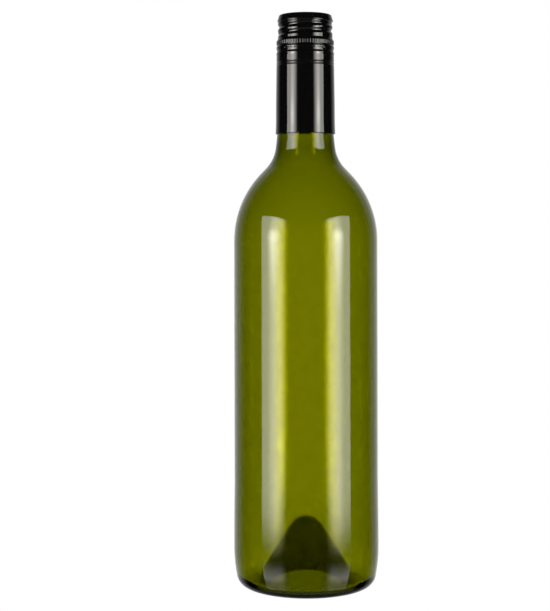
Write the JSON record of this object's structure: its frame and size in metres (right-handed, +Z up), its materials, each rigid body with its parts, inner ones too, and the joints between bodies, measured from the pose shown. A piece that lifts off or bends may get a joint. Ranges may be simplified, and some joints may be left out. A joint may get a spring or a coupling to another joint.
{
  "type": "glass bottle",
  "caption": "Tall straight-sided olive glass wine bottle with high round shoulders, a deep punt and a long-skirted roll-on screw cap.",
  "frame": {"origin": "centre of the standing ring, on the surface that the bottle stands on", "axes": "+Z up along the bottle's axis towards the cap; -Y towards the viewer, +X to the viewer's right"},
  "size_m": [0.075, 0.075, 0.2963],
  "materials": {
    "glass": "polished olive-green soda-lime glass",
    "cap_lacquer": "black satin-gloss lacquer on drawn aluminium sheet"
  },
  "bodies": {
    "root": {"bottle": "glass", "screw_cap": "cap_lacquer"}
  },
  "joints": []
}
